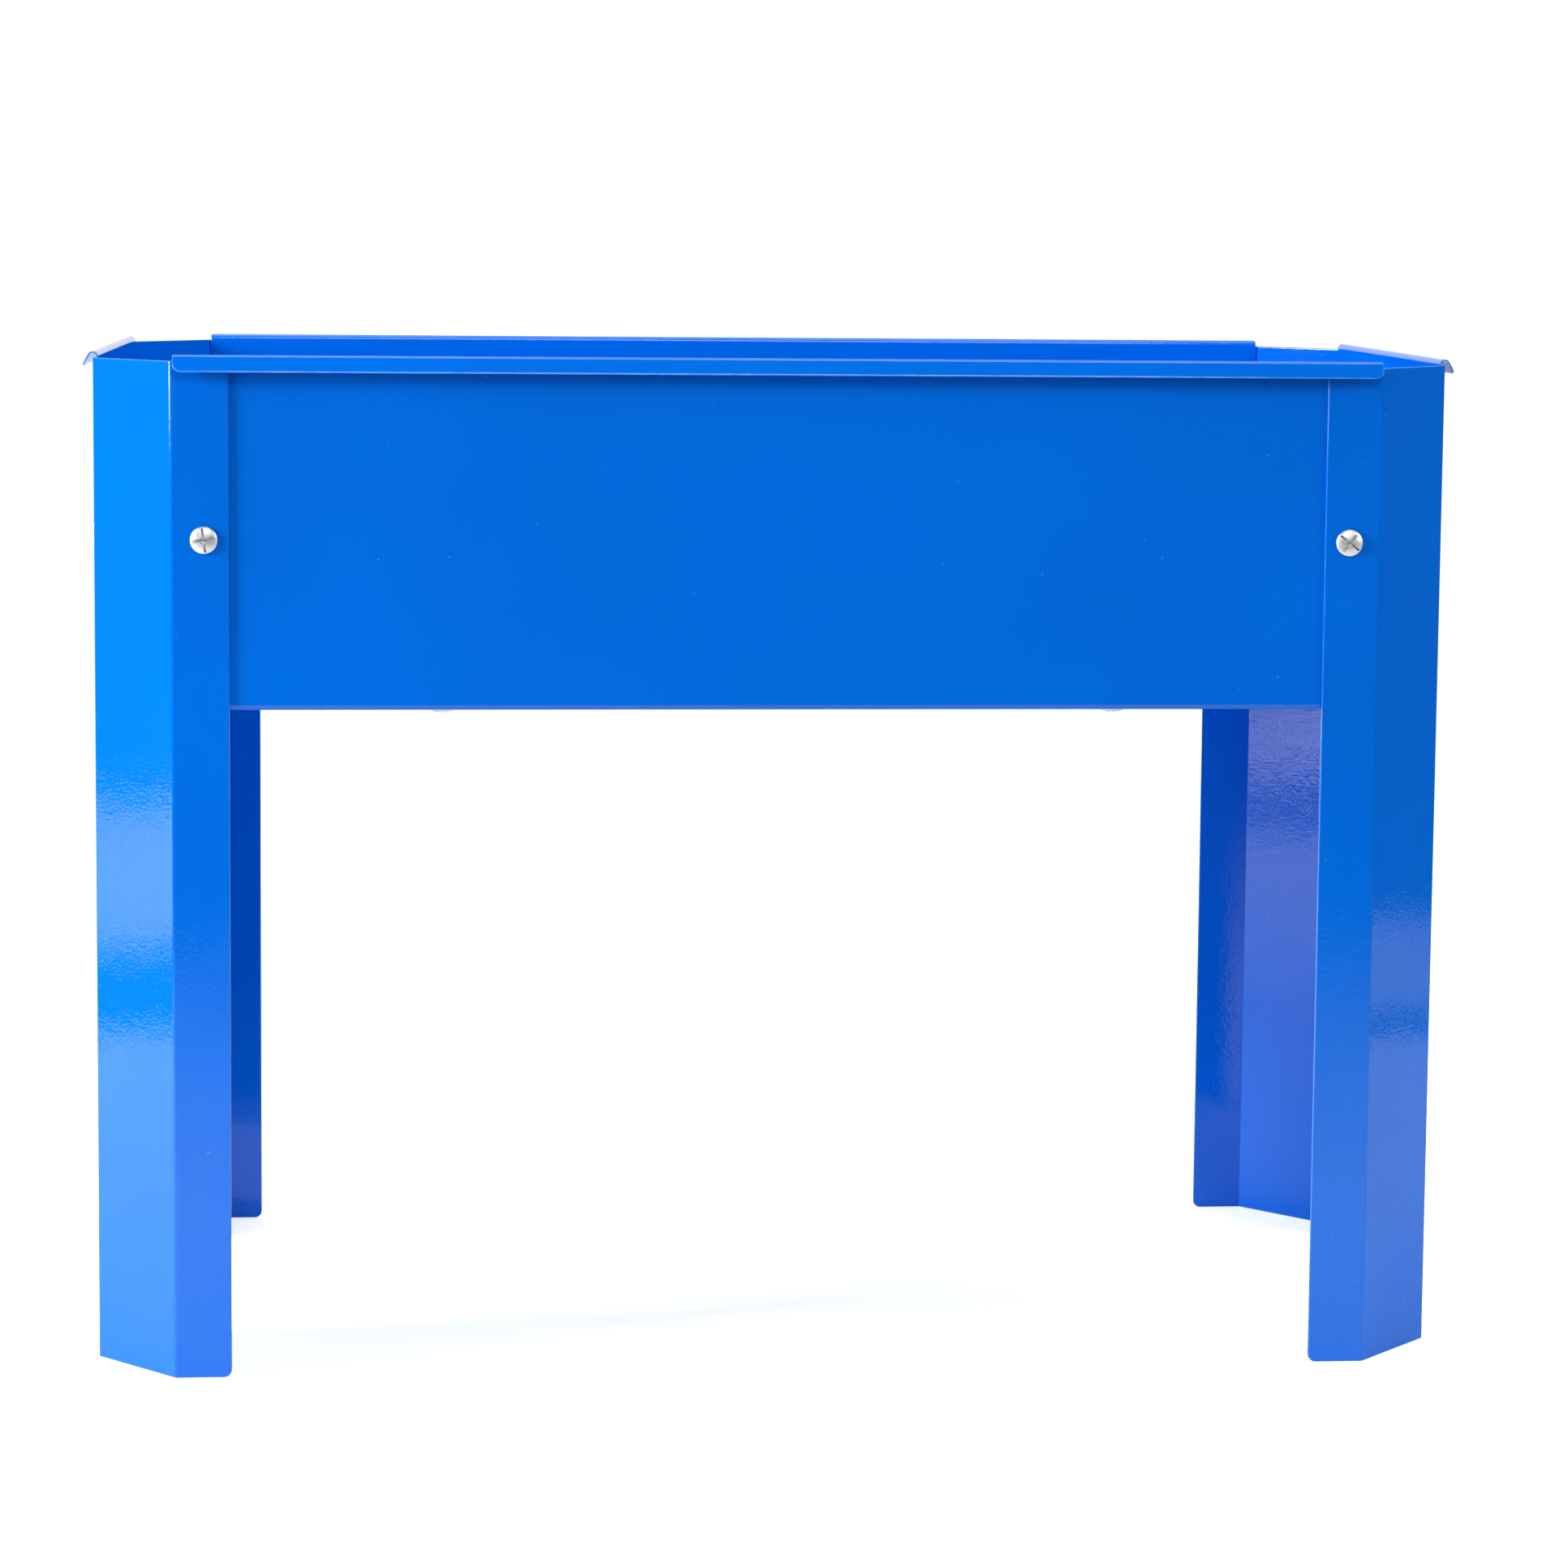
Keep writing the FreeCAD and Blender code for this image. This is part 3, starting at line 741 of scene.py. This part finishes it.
def fastener_tree(with_thread):
    sizes = {"shape": "object", "finish": "material"}
    if with_thread:
        sizes.update(thread_diameter="length", thread_pitch="length", thread_depth="length",
                     thread_length="length", tip_chamfer="length")
    tree, given = new_tree("set_screws" if with_thread else "set_nuts", **sizes)

    def math_node(operation, *values):
        return calc(tree, "ShaderNodeMath", operation, *values)

    shape = add(tree, "GeometryNodeObjectInfo", {"Object": given["Shape"]}).outputs["Geometry"]
    if with_thread:
        # A unit grid: X becomes the way round, Y the way down from the head to the tip.
        turns = math_node("DIVIDE", given["Thread Length"], given["Thread Pitch"])
        rows = math_node("MULTIPLY", turns, ROWS_PER_PITCH)
        grid = add(tree, "GeometryNodeMeshGrid", {
            "Size X": 1.0, "Size Y": 1.0, "Vertices X": THREAD_ROUND + 1, "Vertices Y": rows,
        })
        position = add(tree, "GeometryNodeInputPosition").outputs[0]
        spot = add(tree, "ShaderNodeSeparateXYZ", {0: position}).outputs
        round_share = math_node("ADD", spot["X"], 0.5)
        down = math_node("MULTIPLY", math_node("ADD", spot["Y"], 0.5), given["Thread Length"])
        climb = math_node("ADD", round_share, math_node("DIVIDE", down, given["Thread Pitch"]))
        valley = math_node("MULTIPLY", math_node("PINGPONG", climb, 0.5), 2.0)
        crest = math_node("DIVIDE", given["Thread Diameter"], 2.0)
        thread = math_node("SUBTRACT", crest, math_node("MULTIPLY", valley, given["Thread Depth"]))
        to_tip = math_node("SUBTRACT", given["Thread Length"], down)
        cone = math_node("ADD", math_node("SUBTRACT", crest, given["Tip Chamfer"]), to_tip)
        closed = math_node("MINIMUM", thread, cone)
        not_last = math_node("GREATER_THAN", to_tip, END_ROW)
        not_first = math_node("GREATER_THAN", down, END_ROW)
        radius = math_node("MULTIPLY", closed, math_node("MULTIPLY", not_first, not_last))
        angle = math_node("MULTIPLY", round_share, 2 * math.pi)
        tube = add(tree, "ShaderNodeCombineXYZ", {
            "X": math_node("MULTIPLY", radius, math_node("COSINE", angle)),
            "Y": math_node("MULTIPLY", radius, math_node("SINE", angle)),
            "Z": math_node("MULTIPLY", down, -1.0),
        })
        rolled = add(tree, "GeometryNodeSetPosition", {
            "Geometry": grid.outputs["Mesh"], "Position": tube.outputs[0],
        })
        sealed = add(tree, "GeometryNodeMergeByDistance", {
            "Geometry": rolled.outputs[0], "Distance": THREAD_MERGE,
        })
        outside = add(tree, "GeometryNodeFlipFaces", {"Mesh": sealed.outputs[0]})
        smooth = add(tree, "GeometryNodeSetShadeSmooth", {"Geometry": outside.outputs[0]})
        joined = add(tree, "GeometryNodeJoinGeometry")
        tree.links.new(smooth.outputs[0], joined.inputs[0])
        tree.links.new(shape, joined.inputs[0])
        shape = joined.outputs[0]
    outward = add(tree, "GeometryNodeInputNamedAttribute", {"Name": "outward"}, data_type="FLOAT_VECTOR")
    turn = add(tree, "GeometryNodeInputNamedAttribute", {"Name": "turn"}, data_type="FLOAT")
    face_out = add(tree, "FunctionNodeAlignRotationToVector", {"Vector": outward.outputs["Attribute"]},
                   axis="Z")
    own_turn = add(tree, "FunctionNodeAxisAngleToRotation", {
        "Axis": (0, 0, 1), "Angle": turn.outputs["Attribute"],
    })
    both = add(tree, "FunctionNodeRotateRotation", {
        "Rotation": face_out.outputs[0], "Rotate By": own_turn.outputs[0],
    }, rotation_space="LOCAL")
    stood = add(tree, "GeometryNodeInstanceOnPoints", {
        "Points": given["Geometry"], "Instance": shape, "Rotation": both.outputs[0],
    })
    real = add(tree, "GeometryNodeRealizeInstances", {"Geometry": stood.outputs[0]})
    finished = add(tree, "GeometryNodeSetMaterial", {
        "Geometry": real.outputs[0], "Material": given["Finish"],
    })
    add(tree, "NodeGroupOutput", {"Geometry": finished.outputs[0]})
    return tree


# %% [markdown]
# The shapes go in as hidden helper objects, and the result comes out as one mesh of screws and one of nuts.
# Sharp edges need marking: everything is shaded smooth except where two faces meet at more than a set angle.

# %% Set the screws and nuts
THREAD = {
    "thread_diameter": 6 * MM, "thread_pitch": 1 * MM, "thread_depth": 0.55 * MM, "tip_chamfer": 0.8 * MM,
}


def hidden_shape(name, mesh):
    made = in_scene(name, mesh)
    made.hide_render = True
    return made


def crisp(mesh, degrees):
    """Smooth shading that breaks at edges sharper than the angle."""
    mesh.shade_smooth()
    mesh.set_sharp_from_angle(angle=math.radians(degrees))


head_shape = hidden_shape("pan_head_shape", head_mesh)
nut_shape = hidden_shape("nut_shape", nut_mesh)
screws = grown(spots_object("screw_spots", screw_spots), fastener_tree(True), "zinc_screws",
               shape=head_shape, finish=zinc, thread_length=screw_length, **THREAD)
nuts = grown(spots_object("nut_spots", nut_spots), fastener_tree(False), "zinc_nuts",
             shape=nut_shape, finish=zinc)
for made, spots in ((screws, screw_spots), (nuts, nut_spots)):
    crisp(made.data, 32)
    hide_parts(*(node for node, _, _, _ in spots))
    print(made.name, len(made.data.polygons), "faces")
bpy.data.objects.remove(head_shape)
bpy.data.objects.remove(nut_shape)

# %% [markdown]
# ## The punched floor
# The floor is a flat octagon with rows of drain holes.  A punch makes such holes one by one on a regular
# grid, and a tree can do the same: a circle on every point of a grid, the outline round them, and Fill Curve
# turns the area between them into a face.  A half-round profile swept along every cut edge joins the upper
# face to the lower one, which gives holes and outline the soft edge that powder coat leaves on thin sheet.
#
# The two flat faces are shaded flat.  Shaded smooth, their long triangles would smear the round of a hole's
# edge over the whole floor.

# %% Build the floor tree
def floor_tree():
    tree, given = new_tree(
        "punched_floor", hole_diameter="length", pitch_along="length", pitch_across="length",
        columns="count", rows="count", thickness="length", finish="material",
    )

    def math_node(operation, *values):
        return calc(tree, "ShaderNodeMath", operation, *values)

    def pitch_span(pitch, count):
        return math_node("MULTIPLY", given[pitch], math_node("SUBTRACT", given[count], 1.0))

    grid = add(tree, "GeometryNodeMeshGrid", {
        "Size X": pitch_span("Pitch Along", "Columns"), "Size Y": pitch_span("Pitch Across", "Rows"),
        "Vertices X": given["Columns"], "Vertices Y": given["Rows"],
    })
    half = math_node("DIVIDE", given["Thickness"], 2.0)
    cut_radius = math_node("ADD", math_node("DIVIDE", given["Hole Diameter"], 2.0), half)
    circle = add(tree, "GeometryNodeCurvePrimitiveCircle", {"Resolution": 40, "Radius": cut_radius})
    punched = add(tree, "GeometryNodeInstanceOnPoints", {
        "Points": grid.outputs["Mesh"], "Instance": circle.outputs["Curve"],
    })
    outline = add(tree, "GeometryNodeMeshToCurve", {"Mesh": given["Geometry"]})
    # Reversed, the circles run against the outline, so one profile turns its round side out of the sheet.
    circles = add(tree, "GeometryNodeReverseCurve", {
        "Curve": add(tree, "GeometryNodeRealizeInstances", {"Geometry": punched.outputs[0]}).outputs[0],
    })
    cuts = add(tree, "GeometryNodeJoinGeometry")
    for source in (circles.outputs[0], outline.outputs[0]):
        tree.links.new(source, cuts.inputs[0])
    face = add(tree, "GeometryNodeFillCurve", {"Curve": cuts.outputs[0]})
    low_face = add(tree, "GeometryNodeFlipFaces", {"Mesh": face.outputs[0]})
    down = add(tree, "ShaderNodeCombineXYZ", {"Z": math_node("MULTIPLY", given["Thickness"], -1.0)})
    lowered = add(tree, "GeometryNodeTransform", {
        "Geometry": low_face.outputs[0], "Translation": down.outputs[0],
    })
    arc = add(tree, "GeometryNodeCurveArc", {
        "Resolution": 7, "Radius": half, "Start Angle": -math.pi / 2, "Sweep Angle": math.pi,
    })
    beside = add(tree, "ShaderNodeCombineXYZ", {"Y": half})
    profile = add(tree, "GeometryNodeTransform", {
        "Geometry": arc.outputs["Curve"], "Translation": beside.outputs[0],
    })
    edge = add(tree, "GeometryNodeCurveToMesh", {
        "Curve": cuts.outputs[0], "Profile Curve": profile.outputs[0],
    })
    # The cut edges get the same mark, so the coat paints them paler: partly thinner paint, partly painted
    # highlight.
    marked = add(tree, "GeometryNodeStoreNamedAttribute", {
        "Geometry": edge.outputs[0], "Name": "coat_edge", "Value": 1.0,
    }, data_type="FLOAT", domain="POINT")
    whole = add(tree, "GeometryNodeJoinGeometry")
    for source in (marked.outputs[0], lowered.outputs[0], face.outputs[0]):
        tree.links.new(source, whole.inputs[0])
    sealed = add(tree, "GeometryNodeMergeByDistance", {"Geometry": whole.outputs[0], "Distance": 0.01 * MM})
    real = add(tree, "GeometryNodeRealizeInstances", {"Geometry": sealed.outputs[0]})
    finished = add(tree, "GeometryNodeSetMaterial", {
        "Geometry": real.outputs[0], "Material": given["Finish"],
    })
    add(tree, "NodeGroupOutput", {"Geometry": finished.outputs[0]})
    return tree


# %% Punch the floor
PUNCH = {"hole_diameter": 8 * MM, "pitch_along": 80 * MM, "pitch_across": 75 * MM, "columns": 7, "rows": 3}
CUT_CLEARANCE = LEG_SHEET + 0.5 * MM

low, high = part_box("floor_plate")
floor_sheet = high.z - low.z
inset = floor_sheet / 2
half_x, half_y = high.x - inset, high.y - inset
reach_sum = -leg_low.x - leg_low.y - corner_cut - CUT_CLEARANCE * math.sqrt(2) - inset * math.sqrt(2)
quarter = [(half_x, reach_sum - half_x), (reach_sum - half_y, half_y)]
corners = [*quarter, *((-x, y) for x, y in reversed(quarter)),
           *((-x, -y) for x, y in quarter), *((x, -y) for x, y in reversed(quarter))]
blank = bpy.data.meshes.new("floor_outline")
blank.from_pydata([(x, y, 0) for x, y in corners], [(i, (i + 1) % 8) for i in range(8)], [])
outline = in_scene("floor_outline", blank)
trough_floor = grown(outline, floor_tree(), "trough_floor", thickness=floor_sheet, finish=coat, **PUNCH)
trough_floor.data.transform(Matrix.Translation((0, 0, high.z)))
crisp(trough_floor.data, 30)
for face in trough_floor.data.polygons:
    is_level = abs(face.normal.z) >= 0.99
    face.use_smooth = not is_level
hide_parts("floor_plate")
print("floor:", len(trough_floor.data.polygons), "faces")

# %% [markdown]
# ## Everything belongs to one body
# The planter has no moving parts, so all pieces ride on the CAD model's single body.

# %% Attach the pieces
for piece in [*sheet_metal, trough_floor]:
    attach(piece, "root")
for piece in (screws, nuts):
    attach(piece, "root")

# %% [markdown]
# ## The studio
# A glossy object shows its surroundings, so the studio is part of its look.  The camera stands a little above
# the rim, which means that every upright face mirrors the floor and never the lamps: low down it mirrors the
# bright paper close by, and higher up the unlit floor far away.  The pale sheet under the planter therefore
# ends where the reflections in the legs should turn dark.

# %% Lay the paper
PAPER = (-1.04, -1.35, 1.00, 1.6)
SIDE_SHEETS = {"studio_left_sheet": (-2.02, -1.0, -1.32, 1.6), "studio_right_sheet": (1.07, -1.0, 1.42, 1.6)}
FRONT_FADE = (-1.3, -0.45)
SHADOW_LIFT = 0.6
UNDER_THE_FEET = 0.2 * MM


def paper_white(name, light, dark):
    """White paper that fades out towards the front.  The camera alone sees its shadows lifted."""
    material = bpy.data.materials.new(name)
    material.use_nodes = True
    tree = material.node_tree
    tree.nodes.clear()
    place = add(tree, "ShaderNodeTexCoord").outputs["Object"]
    tone = ramp(tree, noise(tree, place, 1.2, 2), 0.3, 0.7)
    colour = mix(tree, tone, linear(dark), linear(light))
    grain = bump(tree, noise(tree, place, 2 * MM, 2), 0.02 * MM)
    sheet = add(tree, "ShaderNodeBsdfPrincipled", {"Base Color": colour, "Roughness": 0.85, "Normal": grain})
    is_camera = add(tree, "ShaderNodeLightPath").outputs["Is Camera Ray"]
    lift = calc(tree, "ShaderNodeMath", "MULTIPLY", is_camera, SHADOW_LIFT)
    lifted = add(tree, "ShaderNodeAddShader", {
        0: sheet.outputs[0], 1: add(tree, "ShaderNodeEmission", {"Strength": lift}).outputs[0],
    })
    along = add(tree, "ShaderNodeSeparateXYZ", {0: place}).outputs["Y"]
    fade = add(tree, "ShaderNodeMixShader", {
        0: ramp(tree, along, *FRONT_FADE), 1: add(tree, "ShaderNodeBsdfTransparent").outputs[0],
        2: lifted.outputs[0],
    })
    add(tree, "ShaderNodeOutputMaterial", {"Surface": fade.outputs[0]})
    return material


def sheet_on_floor(name, low_x, low_y, high_x, high_y, corner=0.06):
    """A flat sheet with rounded corners, lying on the ground."""
    bm = bmesh.new()
    points = []
    for x, y, first in ((high_x, high_y, 0), (low_x, high_y, 90), (low_x, low_y, 180), (high_x, low_y, 270)):
        centre_x = x - math.copysign(corner, x - (low_x + high_x) / 2)
        centre_y = y - math.copysign(corner, y - (low_y + high_y) / 2)
        for step in range(9):
            angle = math.radians(first + step * 90 / 8)
            points.append((centre_x + corner * math.cos(angle), centre_y + corner * math.sin(angle), 0))
    bm.faces.new([bm.verts.new(point) for point in points])
    made = mesh_object(name, bm)
    made.location.z = -UNDER_THE_FEET
    return made


main_paper = paper_white("studio_paper", "F2F2F1", "F6F6F5")
sheet_on_floor("studio_paper_sheet", *PAPER).data.materials.append(main_paper)
side_paper = paper_white("studio_side_paper", "D6D6D6", "DADADA")
for name, extent in SIDE_SHEETS.items():
    sheet_on_floor(name, *extent).data.materials.append(side_paper)

# %% [markdown]
# Four soft lamps light the scene: a wide one overhead, one on the left that grazes the front, one in front
# and above, and a weak one on the right.  The left one draws the shadows beside the legs' free edges.  The
# room is white where the camera looks at it directly.  In reflections it has a dim band of wall on all sides
# and a bright wall behind the planter, low down, which the rolled rims mirror.

# %% Hang the lamps
def soft_lamp(name, place, target, size, watts):
    data = bpy.data.lights.new(name, "AREA")
    data.shape = "RECTANGLE"
    data.size, data.size_y = size
    data.energy = watts
    lamp = in_scene(name, data)
    lamp.location = place
    lamp.rotation_euler = (Vector(target) - Vector(place)).to_track_quat("-Z", "Y").to_euler()


soft_lamp("overhead_softbox", (0.1, 0.35, 2.5), (0, 0.1, 0), (2.4, 1.7), 34)
soft_lamp("left_softbox", (-2.1, -0.62, 0.9), (-0.25, -0.1, 0.3), (0.6, 1.2), 70)
soft_lamp("front_softbox", (0.2, -3.0, 2.7), (0, 0, 0.25), (1.4, 1.2), 38)
soft_lamp("right_softbox", (2.2, -1.0, 1.2), (0.25, 0, 0.3), (1.0, 1.2), 21)

# %% Light the room
ROOM_FILL = 0.03
WALL_BAND = (12, 20, 38, 46)
WALL_LIGHT = 0.15
BACK_WALL_LIGHT = 1.0
SEEN_WHITE = 1.05


def sine(degrees):
    return math.sin(math.radians(degrees))


def room():
    """Dim walls that start above the dark far floor, and a white wall behind the planter."""
    world = bpy.data.worlds.new("studio_room")
    world.use_nodes = True
    tree = world.node_tree
    tree.nodes.clear()
    _, back, up = add(tree, "ShaderNodeSeparateXYZ", {
        0: add(tree, "ShaderNodeTexCoord").outputs["Generated"],
    }).outputs
    foot, full, fading, top = (sine(angle) for angle in WALL_BAND)
    above = ramp(tree, up, foot, full)
    below = ramp(tree, up, fading, top, 1, 0)
    band = calc(tree, "ShaderNodeMath", "MULTIPLY", above, below)
    towards_back = ramp(tree, back, 0.55, 0.8)
    not_high = ramp(tree, up, 0.3, 0.45, 1, 0)
    behind = calc(tree, "ShaderNodeMath", "MULTIPLY", towards_back, not_high)
    walls = calc(tree, "ShaderNodeMath", "MAXIMUM",
                 calc(tree, "ShaderNodeMath", "MULTIPLY", band, WALL_LIGHT),
                 calc(tree, "ShaderNodeMath", "MULTIPLY", behind, BACK_WALL_LIGHT))
    strength = calc(tree, "ShaderNodeMath", "ADD", walls, ROOM_FILL)
    lit = add(tree, "ShaderNodeBackground", {"Strength": strength})
    seen = add(tree, "ShaderNodeBackground", {"Strength": SEEN_WHITE})
    for background in (lit, seen):
        background.inputs["Color"].default_value = linear("FFFFFF")
    direct = add(tree, "ShaderNodeMixShader", {
        0: add(tree, "ShaderNodeLightPath").outputs["Is Camera Ray"], 1: lit.outputs[0], 2: seen.outputs[0],
    })
    add(tree, "ShaderNodeOutputWorld", {"Surface": direct.outputs[0]})
    return world


bpy.context.scene.world = room()
bpy.context.scene.view_settings.view_transform = "Standard"
bpy.context.scene.view_settings.look = "None"

# %% [markdown]
# ## The camera
# A long lens from about two metres, just above the rim and a little left of the middle, turned a few degrees
# back towards it.  A small vertical shift frames the planter without tilting the camera any further.

# %% Set up the camera
LENS, SENSOR = 93.3, 36
SHIFT_UP = -0.12
STANDPOINT = (-0.146, -1.928, 0.520)
YAW, PITCH, ROLL = math.radians(-4.70), math.radians(-5.43), math.radians(0.52)

camera_data = bpy.data.cameras.new("studio_camera")
camera_data.lens = LENS
camera_data.sensor_width = SENSOR
camera_data.shift_y = SHIFT_UP
camera = in_scene("studio_camera", camera_data)
look = Matrix.Rotation(math.pi / 2 + PITCH, 4, "X") @ Matrix.Rotation(ROLL, 4, "Z")
camera.matrix_world = Matrix.Translation(STANDPOINT) @ Matrix.Rotation(YAW, 4, "Z") @ look
bpy.context.scene.camera = camera
